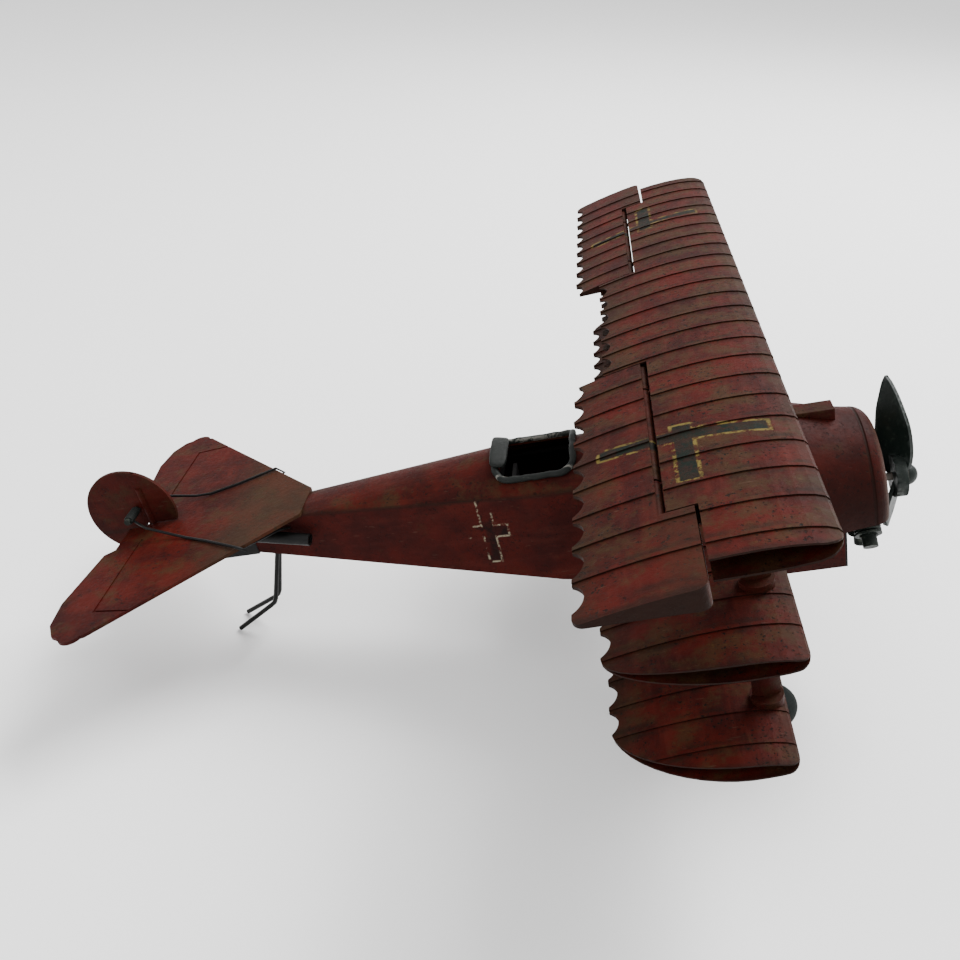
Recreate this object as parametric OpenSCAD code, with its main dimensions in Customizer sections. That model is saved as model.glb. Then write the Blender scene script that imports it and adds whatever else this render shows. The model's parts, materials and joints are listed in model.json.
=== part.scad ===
// Three-winged aeroplane display model in painted sheet tin.
// Every piece is drawn in the level flight frame: +X to the nose, +Y to port, +Z up, with the propeller
// axis along X and the top wing's leading edge at x = 0. stand() then sets it down on its wheels and
// tail skid, nose up, with the origin under the middle of its bounding box.

/* [Fuselage] */
// Height of the top longerons above the propeller axis
longeron_z = 26.7; // [22:0.1:30]
// Depth of the belly below the propeller axis at the nose
belly_z = 26.7; // [22:0.1:30]
// Height of the belly under the front of the tailplane
tail_belly_z = 4.7; // [0:0.1:10]
// Half width at the firewall
nose_half_w = 20; // [18:0.1:23]
// Half width beside the cockpit
cockpit_half_w = 21.5; // [20:0.1:25]
// Thickness of the folded sheet
sheet_t = 0.8; // [0.5:0.1:1.2]
// Rise of the curved deck above the longerons
deck_rise = 10; // [7:0.5:13]
// Length of the cockpit opening
cockpit_len = 29; // [24:1:36]
// Width of the cockpit opening
cockpit_w = 29; // [24:1:32]

/* [Wings] */
// Half span to the tips of the aileron horns
half_span = 170; // [150:1:190]
// Height of the top wing's leading edge
top_z = 86.2; // [78:0.1:94]
// Height of the middle wing's leading edge
middle_z = 35; // [33:0.1:38]
// Height of the lower wing's leading edge
lower_z = -12; // [-15:0.1:-9]
// Half span of the middle wing
middle_half_span = 141; // [125:1:150]
// Half span of the lower wing
lower_half_span = 134.6; // [125:1:150]
// Chord from leading edge to rib ends
chord = 58.5; // [54:0.5:64]
// Wing incidence in degrees
incidence = 5.2; // [3:0.1:7]
// Spacing of the pressed ribs
rib_pitch = 13.9; // [12.5:0.1:15.5]
// Depth of the scallops between ribs at the trailing edge
scallop_depth = 3.2; // [2:0.1:4]
// Distance of the interplane struts from the centre line
strut_y = 106.5; // [95:0.5:112]
// Clear gap round each aileron
aileron_gap = 0.5; // [0.3:0.1:0.8]

/* [Engine and propeller] */
// Radius of the cowling at its front shoulder
cowl_r = 30.2; // [28:0.1:32]
// Propeller blade length from the shaft axis
blade_len = 40; // [35:0.5:46]
// Greatest blade width
blade_w = 15; // [12:0.5:18]
// Blade angle out of the disc plane
blade_pitch = 32; // [20:1:45]
// Lean of the upper blade to port at rest
blade_lean = 26; // [0:1:40]
// Angle from the upper blade round to the lower one, which is knocked out of line
lower_blade_turn = 128; // [110:1:180]
// Radius of the propeller shaft
shaft_r = 1.6; // [1.2:0.1:2]
// Number of engine cylinders
cylinder_count = 9; // [5:1:9]

/* [Undercarriage] */
// Radius of the tyres
tyre_r = 14; // [12:0.5:16]
// Half width of each tyre's section
tyre_section_r = 2.6; // [2:0.1:3.2]
// Distance of each wheel from the centre line
wheel_y = 48; // [44:0.5:54]
// Height of the axle below the propeller axis
axle_drop = 72; // [66:0.5:78]
// Radius of the axle
axle_r = 1.6; // [1.2:0.1:2]
// Radius of the two tail skid wires
skid_r = 1.1; // [0.8:0.1:1.5]

/* [Tail] */
// Half span of the tailplane
tail_half_span = 80.4; // [72:0.5:90]
// Radius of the rudder disc
rudder_r = 20; // [17:0.5:23]
// Half length of the rudder horn
horn_half_len = 12; // [9:0.5:14]

/* [Hidden] */
SIDES = [["left", 1], ["right", -1]];
$fn = 48;
big = 400;
running = 0.06;

// Stations along the fuselage
firewall_x = 27;
firewall_t = 0.8;
cowl_rear_x = 4;
cowl_front_x = 42.6;
belly_bend_x = -20;
cockpit_front_x = -74.2;
cockpit_rear_x = cockpit_front_x - cockpit_len;
deck_front_x = -4;
deck_rear_x = cockpit_rear_x - 4;
tail_front_x = -190;
post_x = -258;
post_half_w = 2;
taper_x = -85;
hinge_x = -261.2;
hinge_r = 0.7;

// Wing stations
top_x = 0;
middle_x = -6.1;
lower_x = -10;
strut_x = -16;
top_chord = 54.2;
aileron_chord = 64.4;
aileron_hinge_c = 41.2;
horn_front_c = 31.8;
aileron_in_y = 44.3;
horn_in_y = 136.2;
horn_gap = 1;
top_tip_y = half_span - 10;
wing_t = 0.12;
camber = 1.2;
skin_t = 0.6;
edge_t = 0.45;
rib_w = 1.5;
rib_h = 0.45;
pin_r = 0.45;
knuckle_r = 1.7;
rib_stations = [42.5, 62, 118];
rib_plate = 1.2;

// Nose
prop_x = 51.8;
blade_t = 1.6;
blade_root_w = 6;
BLADE_STEPS = 16;
function blade_half(s) = blade_root_w / 2 * (1 - s)
    + blade_w / 2 * pow(sin(180 * pow(s, 0.8)), 0.7) * (1 - 0.12 * s);
boss_r = 8.5;
boss_t = 4.4;
crank_r = 12;
crank_front_x = 46;
nut_r = 4.4;
cowl_t = 0.9;
cowl_hole_r = 19;
cowl_lip_r = 7;
cowl_back_r = cowl_r + 5.3;
cowl_cut_z = -1.5;

// Undercarriage
axle_x = -13;
axle_half = 55;
fairing_half = 41;
fairing_chord = 26;
hub_gap = 0.4;
leg_r = 1.4;

// Tail
tail_z = longeron_z;
tail_t = 1.4;
rudder_x = -268.6;
rudder_z = longeron_z + 8.6;
rudder_t = 1.6;
horn_x = -265.8;
horn_z = rudder_z + 1.2;
horn_r = 1.3;
binding_r = 2;
cable_r = 0.6;
skid_top = [-209, 0];
skid_bend = [-220, -20.5];
skid_foot = [-240, -31];
skid_spread = 3.2;

// Stance: the tyres and the skid feet touch one plane
base_run = axle_x - skid_foot[0];
base_rise = -axle_drop - skid_foot[1];
nose_up = asin((tyre_r - skid_r) / norm([base_run, base_rise])) - atan2(base_rise, base_run);
lift_z = tyre_r - (axle_x * sin(nose_up) - axle_drop * cos(nose_up));
rear_reach = rudder_x * cos(nose_up) - rudder_z * sin(nose_up) - rudder_r;
front_reach = max([for (turn = [0, lower_blade_turn], i = [0 : BLADE_STEPS], h = [-1, 1], e = [-1, 1])
    let (a = -turn - blade_lean, w = h * blade_half(i / BLADE_STEPS), t = e * blade_t / 2)
    (prop_x + t * cos(blade_pitch) - w * sin(blade_pitch)) * cos(nose_up)
    - ((w * cos(blade_pitch) + t * sin(blade_pitch)) * sin(a) + blade_len * i / BLADE_STEPS * cos(a)) * sin(nose_up)]);
shift_x = -(rear_reach + front_reach) / 2;

module stand() {
    translate([shift_x, 0, lift_z]) rotate([0, -nose_up, 0]) children();
}

// A round bar between two points
module bar(p, q, r) {
    v = q - p;
    translate(p) rotate([0, acos(v[2] / norm(v)), atan2(v[1], v[0])]) cylinder(h = norm(v), r = r, $fn = 24);
}

// A bent wire swept through a list of points, its rings turned from the direction given by side
WIRE_SIDES = 8;
function unit(v) = v / norm(v);
function heading(pts, i) = unit(pts[min(i + 1, len(pts) - 1)] - pts[max(i - 1, 0)]);
module wire(pts, r, side) {
    n = WIRE_SIDES;
    last = (len(pts) - 1) * n;
    rings = [for (i = [0 : len(pts) - 1]) let (t = heading(pts, i), u = unit(cross(t, side)), v = cross(u, t))
        for (j = [0 : n - 1]) pts[i] + r * (cos(360 * j / n) * u + sin(360 * j / n) * v)];
    walls = [for (i = [0 : len(pts) - 2], j = [0 : n - 1]) let (a = i * n + j, b = i * n + (j + 1) % n)
        for (f = [[a, b, b + n], [a, b + n, a + n]]) f];
    polyhedron(points = rings, faces = concat(walls, [[for (j = [n - 1 : -1 : 0]) j]],
        [[for (j = [0 : n - 1]) last + j]]));
}

module side_extrude(depth) { rotate([90, 0, 0]) linear_extrude(depth, center = true) children(); }

module rounded_rect(x0, x1, half_w, r) {
    translate([x0 + r, -half_w]) square([x1 - x0 - 2 * r, 2 * half_w]);
    translate([x0, -half_w + r]) square([x1 - x0, 2 * half_w - 2 * r]);
    for (x = [x0 + r, x1 - r], y = [-half_w + r, half_w - r]) translate([x, y]) circle(r);
}

// ---------- Fuselage ----------
function belly_at(x) = x > belly_bend_x ? -belly_z
    : -belly_z + (tail_belly_z + belly_z) * (belly_bend_x - x) / (belly_bend_x - tail_front_x);
function half_w_at(x) = x > taper_x
    ? nose_half_w + (cockpit_half_w - nose_half_w) * (firewall_x - x) / (firewall_x - taper_x)
    : cockpit_half_w + (post_half_w - cockpit_half_w) * (taper_x - x) / (taper_x - post_x);

module plan(inset, x_front, x_rear) {
    w = [for (x = [x_front, taper_x, x_rear]) [x, half_w_at(x) - inset]];
    linear_extrude(big, center = true) polygon([for (p = w) p, for (i = [2 : -1 : 0]) [w[i][0], -w[i][1]]]);
}

// The part of the nose that lies inside the cowling has its top corners rounded off
nose_round_r = cowl_r - cowl_t - 0.4;
module fuselage_solid(inset) {
    f = firewall_x;
    b = post_x;
    difference() {
        fuselage_box(inset, f, b);
        difference() {
            translate([cowl_rear_x, -50, 0]) cube([60, 100, 60]);
            rotate([0, 90, 0]) cylinder(h = 100, r = nose_round_r - inset, $fn = 96);
        }
    }
}

module fuselage_box(inset, f, b) {
    intersection() {
        plan(inset, f + 1, b - 1);
        side_extrude(100) polygon([[f, longeron_z - inset], [f, -belly_z + inset],
            [belly_bend_x, -belly_z + inset], [b, belly_at(b) + inset], [b, longeron_z - inset]]);
    }
}

module fuselage_shell() color("firebrick") stand() difference() {
    fuselage_solid(0);
    fuselage_solid(sheet_t);
    cockpit_cut(0);
}

module cockpit_cut(grow) {
    translate([0, 0, longeron_z - 5]) linear_extrude(60)
        rounded_rect(cockpit_rear_x - grow, cockpit_front_x + grow, cockpit_w / 2 + grow, 5 + grow);
}

module firewall() color("dimgray") stand() difference() {
    translate([firewall_x, -nose_half_w, -belly_z]) cube([firewall_t, 2 * nose_half_w, belly_z + longeron_z]);
    difference() {
        translate([cowl_rear_x, -50, 0]) cube([60, 100, 60]);
        rotate([0, 90, 0]) cylinder(h = 100, r = nose_round_r, $fn = 96);
    }
}

function deck_arc(rise, w, clip) = [for (i = [-12 : 12]) let (y = clip * i / 12)
    [y, longeron_z + rise * (1 - y * y / (w * w))]];

// A thin slab of deck section across the fuselage
module deck_slab(x, depth, rise, w, clip) {
    translate([x, 0, 0]) rotate([90, 0, 90]) linear_extrude(depth)
        polygon(concat([[-clip, longeron_z]], deck_arc(rise, w, clip), [[clip, longeron_z]]));
}

deck_w = cockpit_half_w + 0.1;

module cockpit_deck() color("firebrick") stand() difference() {
    intersection() {
        deck_slab(deck_rear_x, deck_front_x - deck_rear_x, deck_rise, deck_w, deck_w);
        plan(0, firewall_x, post_x);
    }
    intersection() {
        translate([0, 0, -sheet_t])
            deck_slab(deck_rear_x - 1, deck_front_x - deck_rear_x + 2, deck_rise, deck_w, deck_w);
        plan(sheet_t, firewall_x, post_x);
    }
    cockpit_cut(0);
    // the ribs stand proud of the wing, so the cut for the wing is taken over their height
    middle_wing_place() side_extrude(120) polygon(section(chord, rib_h));
}

module rear_deck_hull(inset) {
    hull() {
        deck_slab(deck_rear_x - 1, 1, deck_rise - inset, deck_w, half_w_at(deck_rear_x) - inset);
        deck_slab(tail_front_x, 1, 1.2 - inset, half_w_at(tail_front_x), half_w_at(tail_front_x) - inset);
    }
}

module rear_deck() color("firebrick") stand() difference() {
    rear_deck_hull(0);
    translate([sheet_t, 0, -0.05]) rear_deck_hull(sheet_t);
}

module front_deck_hull(inset, over) {
    hull() {
        translate([cowl_rear_x - 1, 0, 0]) rotate([90, 0, 90]) linear_extrude(1 + over) intersection() {
            circle(cowl_back_r - inset, $fn = 64);
            translate([-50, 8 + inset]) square([100, 50]);
        }
        translate([-over, 0, 0])
            deck_slab(deck_front_x, 1, deck_rise - inset, deck_w, half_w_at(deck_front_x) - inset);
    }
}

module front_deck() color("firebrick") stand() difference() {
    front_deck_hull(0, 0);
    front_deck_hull(1.2, 0.5);
    fuselage_solid(0);
}

coaming_t = 3;
module coaming() color("darkslategray") stand() intersection() {
    difference() {
        translate([0, 0, 2.4]) deck_slab(deck_rear_x, 60, deck_rise, deck_w, deck_w);
        deck_slab(deck_rear_x - 1, 62, deck_rise, deck_w, deck_w);
    }
    difference() {
        cockpit_cut(coaming_t);
        translate([0, 0, -1]) cockpit_cut(0);
    }
}

pad_len = 7;
pad_rear_x = cockpit_rear_x - coaming_t;
module headrest() color("darkslategray") stand() difference() {
    intersection() {
        translate([pad_rear_x, 0, 0]) rotate([90, 0, 90]) linear_extrude(pad_len)
            polygon(concat([[-12, longeron_z]], [for (p = deck_arc(deck_rise, deck_w, 12)) p + [0, 3]],
                [[12, longeron_z]]));
        translate([0, 0, longeron_z]) linear_extrude(40) rounded_rect(pad_rear_x, pad_rear_x + pad_len, 11.5, 2.5);
    }
    rear_deck_hull(0);
    deck_slab(deck_rear_x, 60, deck_rise, deck_w, deck_w);
    translate([0, 0, 2.4]) deck_slab(deck_rear_x, 60, deck_rise, deck_w, deck_w);
}

seat_x = cockpit_rear_x + 3;
seat_z = 8;
module seat() color("black") stand() {
    translate([seat_x, -11, seat_z]) cube([20, 22, 1.6]);
    translate([seat_x, -11, seat_z]) cube([1.6, 22, 17]);
    intersection() {
        translate([seat_x + 8, 0, -60]) cylinder(h = 60 + seat_z, r = 4);
        fuselage_solid(sheet_t);
    }
}

// ---------- Nose ----------
function cowl_profile(inset) = concat(
    [[cowl_back_r - inset, cowl_rear_x - (inset > 0 ? 1 : 0)], [cowl_back_r - inset, cowl_rear_x + 9],
        [cowl_r + 1 - inset, cowl_front_x - 13]],
    [for (a = [90 : -10 : 0]) [cowl_r - cowl_lip_r + (cowl_lip_r - inset) * sin(a),
        cowl_front_x - cowl_lip_r + (cowl_lip_r - inset) * cos(a)]]);

module cowl_turned(inset) {
    rotate([0, 90, 0]) rotate_extrude($fn = 96)
        polygon(concat([[0, cowl_rear_x - (inset > 0 ? 1 : 0)]], cowl_profile(inset),
            [[0, cowl_front_x - inset]]));
}

module cowling() color("firebrick") stand() difference() {
    intersection() {
        cowl_turned(0);
        translate([-50, -60, cowl_cut_z]) cube([120, 120, 80]);
    }
    cowl_turned(cowl_t);
    rotate([0, 90, 0]) cylinder(h = 100, r = cowl_hole_r);
}

strip_half = 4;
module cowl_strip() color("darkslategray") stand() difference() {
    translate([cowl_rear_x + 1, -strip_half, 20]) cube([23, 2 * strip_half, cowl_back_r + 0.8 - 20]);
    cowl_turned(0);
}

module crankcase() color("darkslategray") stand() difference() {
    rotate([0, 90, 0]) union() {
        translate([0, 0, firewall_x + firewall_t])
            cylinder(h = crank_front_x - firewall_x - firewall_t - 4, r = crank_r);
        translate([0, 0, crank_front_x - 4]) cylinder(h = 4, r1 = crank_r, r2 = 7);
    }
    translate([firewall_x + 6, 0, 0]) rotate([0, 90, 0]) cylinder(h = 30, r = shaft_r + running);
}

fin_count = 5;
cap_len = 4.6;
cap_top = cowl_r - cowl_t - 1.6;
module cylinder_unit() {
    translate([0, 0, crank_r - 1]) cylinder(h = cap_top - cap_len - crank_r + 1.5, r = 3.4);
    for (i = [0 : fin_count - 1])
        translate([0, 0, cap_top - cap_len - 6.6 + 1.4 * i]) cylinder(h = 0.7, r = 5.2);
    translate([0, 0, cap_top - cap_len]) cylinder(h = cap_len, r = 2.9);
}

module cylinders() color("darkslategray") stand() difference() {
    for (i = [0 : cylinder_count - 1]) translate([36.4, 0, 0])
        rotate([10 + i * 360 / cylinder_count, 0, 0]) cylinder_unit();
    translate([firewall_x, 0, 0]) rotate([0, 90, 0]) cylinder(h = 30, r = crank_r);
}

module propeller_shaft() color("silver") stand()
    translate([firewall_x + 6.5, 0, 0]) rotate([0, 90, 0]) cylinder(h = prop_x + 5 - firewall_x - 6.5, r = shaft_r);

module blade() {
    n = BLADE_STEPS;
    rotate([0, 0, blade_pitch]) rotate([90, 0, 0]) linear_extrude(blade_t, center = true)
        polygon([for (i = [0 : n]) [blade_half(i / n), blade_len * i / n],
            for (i = [n - 1 : -1 : 0]) [-blade_half(i / n), blade_len * i / n]]);
}

module propeller() color("darkslategray") stand() difference() {
    translate([prop_x, 0, 0]) rotate([-blade_lean, 0, 0]) union() {
        for (a = [0, -lower_blade_turn]) rotate([a, 0, 0]) rotate([0, 0, 90]) blade();
        rotate([0, 90, 0]) cylinder(h = boss_t, r = boss_r, center = true);
    }
    rotate([0, 90, 0]) cylinder(h = 100, r = shaft_r);
    translate([prop_x + boss_t / 2, 0, 0]) rotate([0, 90, 0]) cylinder(h = 20, r = nut_r + 1);
}

module propeller_washer() color("gray") stand() difference() {
    translate([prop_x + boss_t / 2, 0, 0]) rotate([0, 90, 0]) cylinder(h = 0.8, r = nut_r + 1);
    rotate([0, 90, 0]) cylinder(h = 100, r = shaft_r);
}

module propeller_nut() color("darkslategray") stand() difference() {
    translate([prop_x + boss_t / 2 + 0.8, 0, 0]) intersection() {
        sphere(r = nut_r);
        translate([0, -10, -10]) cube(20);
    }
    translate([prop_x - 10, 0, 0]) rotate([0, 90, 0]) cylinder(h = 15, r = shaft_r);
}

// ---------- Wings ----------
// Half thickness and middle line of the section at a share s of the chord
function half_t(s, c) = 5 * wing_t * c * 0.9 * (0.2969 * sqrt(s) - 0.126 * s - 0.3516 * s * s
    + 0.2843 * pow(s, 3) - 0.1036 * pow(s, 4)) + edge_t * s;
function mid_line(s) = 4 * camber * s * (1 - s);
STEPS = 14;
function share(i) = (1 - cos(180 * i / STEPS)) / 2;
function upper_line(c, grow) = [for (i = [0 : STEPS]) let (s = share(i))
    [-c * s, mid_line(s) + max(half_t(s, c) + grow, 0)]];
function lower_line(c, grow) = [for (i = [0 : STEPS]) let (s = share(i))
    [-c * s, mid_line(s) - max(half_t(s, c) + grow, 0)]];
function back(list) = [for (i = [len(list) - 1 : -1 : 0]) list[i]];
function section(c, grow) = concat(upper_line(c, grow), back(lower_line(c, grow)));
function centre_line(c) = [for (i = [0 : STEPS]) [-c * share(i), mid_line(share(i))]];

module wing_place(x, z) { translate([x, 0, z]) rotate([0, -incidence, 0]) children(); }
module top_wing_place() { wing_place(top_x, top_z) children(); }
module middle_wing_place() { wing_place(middle_x, middle_z) children(); }
module lower_wing_place() { wing_place(lower_x, lower_z) children(); }

module upper_sheet(c) {
    side_extrude(big) difference() {
        polygon(concat(upper_line(c, 0), back(centre_line(c))));
        polygon(section(c, -skin_t));
    }
}

module lower_sheet(c) {
    side_extrude(big) difference() {
        polygon(concat(lower_line(c, 0), back(centre_line(c))));
        polygon(section(c, -skin_t));
    }
}

module rib_ridges(c, first, last) {
    for (k = [first : last]) translate([0, k * rib_pitch, 0]) side_extrude(rib_w) difference() {
        polygon(concat(upper_line(c, rib_h), back(centre_line(c))));
        polygon(section(c, -skin_t));
    }
}

// Row of round cuts between the rib ends along a trailing edge
module scallops(c, first, last) {
    r = 6.2;
    for (k = [first : last]) translate([-(c + r - scallop_depth), (k + 0.5) * rib_pitch]) circle(r);
}

// Rounded tip: straight side from the nose, then a curve to the trailing edge
function tip_outline(c, half, curve_c, te_y) = concat(
    [for (a = [0 : 15 : 90]) [-4 + 4 * cos(a), half - 5 + 5 * sin(a)]],
    [for (a = [0 : 7.5 : 90]) [-curve_c - (c - curve_c) * pow(sin(a), 1.1), te_y + (half - te_y) * pow(cos(a), 1.1)]]);

function both_sides(list) = concat(list, [for (p = back(list)) [p[0], -p[1]]]);
function half_points(c, half, curve_c, te_y) =
    concat([[8, half - 8], [0, half - 8]], tip_outline(c, half, curve_c, te_y));

module wing_plan(c, half, curve_c, te_y, last) {
    linear_extrude(60, center = true) difference() {
        polygon(both_sides(half_points(c, half, curve_c, te_y)));
        scallops(c, -last - 1, last);
    }
}

module top_plan() {
    tip_r = 6;
    linear_extrude(60, center = true) difference() {
        polygon(both_sides(concat([[8, top_tip_y - 8], [0, top_tip_y - 8]],
            [for (a = [0 : 15 : 90]) [-tip_r + tip_r * cos(a), top_tip_y - 6 + 6 * sin(a)]],
            [[-horn_front_c + horn_gap, top_tip_y], [-horn_front_c + horn_gap, horn_in_y - aileron_gap],
                [-aileron_hinge_c + knuckle_r + aileron_gap, horn_in_y - aileron_gap],
                [-aileron_hinge_c + knuckle_r + aileron_gap, aileron_in_y - aileron_gap],
                [-top_chord, aileron_in_y - aileron_gap]])));
        scallops(top_chord, -4, 3);
    }
}

module top_wing_skin() color("firebrick") stand() top_wing_place() intersection() {
    union() {
        upper_sheet(aileron_chord);
        rib_ridges(aileron_chord, -11, 11);
    }
    top_plan();
}

module top_wing_underside() color("firebrick") stand() top_wing_place() intersection() {
    lower_sheet(aileron_chord);
    top_plan();
}

hinge_h = mid_line(aileron_hinge_c / aileron_chord);
module hinge_axis(y0, y1, r) {
    translate([-aileron_hinge_c, y1, hinge_h]) rotate([90, 0, 0]) cylinder(h = y1 - y0, r = r, $fn = 32);
}

// Inner ribs: the inmost one of each side carries the pin's end, the others reach back as hinge lugs
module rib_plate_at(y, lug) {
    difference() {
        union() {
            intersection() {
                translate([0, y, 0]) side_extrude(rib_plate) polygon(section(aileron_chord, -skin_t));
                translate([-aileron_hinge_c + knuckle_r + aileron_gap, y - 5, -20])
                    cube([aileron_hinge_c - 10, 10, 40]);
            }
            if (lug) {
                hinge_axis(y - rib_plate / 2, y + rib_plate / 2, 1.4);
                translate([-aileron_hinge_c, y - rib_plate / 2, hinge_h - 0.7]) cube([5, rib_plate, 1.4]);
            } else intersection() {
                translate([0, y, 0]) side_extrude(rib_plate) polygon(section(aileron_chord, -skin_t));
                translate([-aileron_hinge_c - 3, y - 5, -20]) cube([12, 10, 40]);
            }
        }
        hinge_axis(y - 5, y + 5, pin_r);
    }
}

module top_wing_ribs() color("saddlebrown") stand() top_wing_place() {
    for (side = [0, 1], k = [0 : 2]) mirror([0, side, 0]) rib_plate_at(rib_stations[k], k > 0);
}

module aileron() {
    g = 0.5;
    difference() {
        intersection() {
            union() {
                side_extrude(big) polygon(section(aileron_chord, 0));
                for (k = [4 : 11]) translate([0, k * rib_pitch, 0]) side_extrude(rib_w)
                    polygon(section(aileron_chord, rib_h));
            }
            linear_extrude(60, center = true) difference() {
                union() {
                    translate([-aileron_chord, aileron_in_y])
                        square([aileron_chord - aileron_hinge_c, half_span - aileron_in_y - 3]);
                    translate([-aileron_chord, horn_in_y])
                        square([aileron_chord - horn_front_c, half_span - horn_in_y - 3]);
                    translate([-aileron_chord + 3, half_span - 6])
                        square([aileron_chord - horn_front_c - 6, 6]);
                    for (c = [aileron_chord - 3, horn_front_c + 3])
                        translate([-c, half_span - 3]) circle(3);
                }
                scallops(aileron_chord, 3, 11);
            }
        }
        // room for the round nose, then for the lugs and the pin
        translate([-aileron_hinge_c - 0.01, aileron_in_y - 1, -20])
            cube([knuckle_r + 2, horn_in_y - aileron_in_y + 0.6, 40]);
        for (y = [rib_stations[1], rib_stations[2]])
            hinge_axis(y - rib_plate / 2 - g, y + rib_plate / 2 + g, 2.3);
        hinge_axis(aileron_in_y - 1, horn_in_y + 3, pin_r + running);
    }
    difference() {
        hinge_axis(aileron_in_y, horn_in_y - g, knuckle_r);
        for (y = [rib_stations[1], rib_stations[2]])
            hinge_axis(y - rib_plate / 2 - g, y + rib_plate / 2 + g, 2.3);
        hinge_axis(aileron_in_y - 1, horn_in_y + 3, pin_r + running);
    }
}

module aileron_left() color("firebrick") stand() top_wing_place() aileron();
module aileron_right() color("firebrick") stand() top_wing_place() mirror([0, 1, 0]) aileron();
module aileron_pin() { hinge_axis(rib_stations[0] - rib_plate / 2, horn_in_y + 2.5, pin_r); }
module aileron_pin_left() color("silver") stand() top_wing_place() aileron_pin();
module aileron_pin_right() color("silver") stand() top_wing_place() mirror([0, 1, 0]) aileron_pin();

middle_last = 8;
module middle_plan() { wing_plan(chord, middle_half_span, 18, middle_half_span - 16, middle_last); }
module middle_wing_skin() color("firebrick") stand() middle_wing_place() intersection() {
    union() {
        upper_sheet(chord);
        rib_ridges(chord, -9, 9);
    }
    middle_plan();
}
module middle_wing_underside() color("firebrick") stand() middle_wing_place() intersection() {
    lower_sheet(chord);
    middle_plan();
}

module lower_plan() { wing_plan(chord, lower_half_span, 15, lower_half_span - 29, 7); }
module lower_skin_level() {
    lower_wing_place() intersection() {
        union() {
            upper_sheet(chord);
            rib_ridges(chord, -9, 9);
        }
        lower_plan();
    }
}
module lower_underside_level() {
    lower_wing_place() intersection() {
        lower_sheet(chord);
        lower_plan();
    }
}
module one_side(s) {
    difference() {
        intersection() {
            children();
            translate([-big / 2, s > 0 ? 0 : -big, -big / 2]) cube([big, big, big]);
        }
        fuselage_solid(0);
    }
}
module lower_wing_left_skin() color("firebrick") stand() one_side(1) lower_skin_level();
module lower_wing_left_underside() color("firebrick") stand() one_side(1) lower_underside_level();
module lower_wing_right_skin() color("firebrick") stand() one_side(-1) lower_skin_level();
module lower_wing_right_underside() color("firebrick") stand() one_side(-1) lower_underside_level();

// ---------- Struts ----------
module top_wing_solid() { top_wing_place() side_extrude(big) polygon(section(aileron_chord, 0)); }
module middle_wing_solid() { middle_wing_place() side_extrude(big) polygon(section(chord, rib_h)); }
module lower_wing_solid() { lower_wing_place() side_extrude(big) polygon(section(chord, rib_h)); }

strut_chord = 9;
strut_t = 3;
// Pointed oval column made by two circles
module strut_column(z0, z1) {
    r = (strut_chord * strut_chord + strut_t * strut_t) / (4 * strut_t);
    translate([strut_x, strut_y, z0]) linear_extrude(z1 - z0) intersection() {
        translate([0, r - strut_t / 2]) circle(r, $fn = 128);
        translate([0, strut_t / 2 - r]) circle(r, $fn = 128);
    }
}
module upper_strut() {
    difference() {
        strut_column(surface_z(middle_z, middle_x, strut_x, 0), surface_z(top_z, top_x, strut_x, 0));
        top_wing_solid();
        middle_wing_solid();
    }
}
module lower_strut() {
    difference() {
        strut_column(surface_z(lower_z, lower_x, strut_x, 0), surface_z(middle_z, middle_x, strut_x, 0));
        middle_wing_solid();
        lower_wing_solid();
    }
}
module upper_strut_left() color("firebrick") stand() upper_strut();
module upper_strut_right() color("firebrick") stand() mirror([0, 1, 0]) upper_strut();
module lower_strut_left() color("firebrick") stand() lower_strut();
module lower_strut_right() color("firebrick") stand() mirror([0, 1, 0]) lower_strut();

function surface_z(wz, wx, x, up) = let (s = (wx - x) / chord)
    wz - (wx - x) * sin(incidence) + mid_line(s) + up * half_t(s, chord);
module strut_sockets() color("darkslategray") stand() {
    heights = [surface_z(lower_z, lower_x, strut_x, 1) + 0.9, surface_z(middle_z, middle_x, strut_x, -1) - 0.9,
        surface_z(middle_z, middle_x, strut_x, 1) + 0.9, surface_z(top_z, top_x, strut_x, -1) - 1.2];
    for (m = [0, 1], h = heights) mirror([0, m, 0]) difference() {
        translate([strut_x, strut_y, h]) cylinder(h = 3, r = 5.4, center = true);
        strut_column(lower_z - 5, top_z);
        top_wing_solid();
        middle_wing_solid();
        lower_wing_solid();
    }
}

module cabane() {
    difference() {
        union() {
            bar([-12, 15, middle_z], [-12, 19, top_z], 1.5);
            bar([-44, 15, middle_z - 3], [-40, 19, top_z], 1.5);
            bar([-40, 15.5, middle_z], [-14, 18, top_z - 4], 1.2);
        }
        top_wing_solid();
        middle_wing_solid();
    }
}
module cabane_left() color("firebrick") stand() cabane();
module cabane_right() color("firebrick") stand() mirror([0, 1, 0]) cabane();

// ---------- Undercarriage ----------
module fairing_solid() {
    translate([axle_x + 9, 0, -axle_drop]) side_extrude(2 * fairing_half)
        polygon([for (p = section(fairing_chord, 1)) [p[0], p[1] - 1]]);
}
module leg() {
    difference() {
        union() {
            bar([-3, 17, -belly_z + 2], [axle_x + 3, fairing_half - 3, -axle_drop], leg_r);
            bar([-46, 17, belly_at(-46) + 2], [axle_x - 3, fairing_half - 3, -axle_drop], leg_r);
        }
        fuselage_solid(0);
        fairing_solid();
    }
}
module leg_left() color("firebrick") stand() leg();
module leg_right() color("firebrick") stand() mirror([0, 1, 0]) leg();
module axle_fairing() color("firebrick") stand() difference() {
    fairing_solid();
    translate([axle_x, 0, -axle_drop]) rotate([90, 0, 0]) cylinder(h = big, r = axle_r, center = true);
}
module axle() color("dimgray") stand()
    translate([axle_x, 0, -axle_drop]) rotate([90, 0, 0]) cylinder(h = 2 * axle_half, r = axle_r, center = true);

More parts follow.
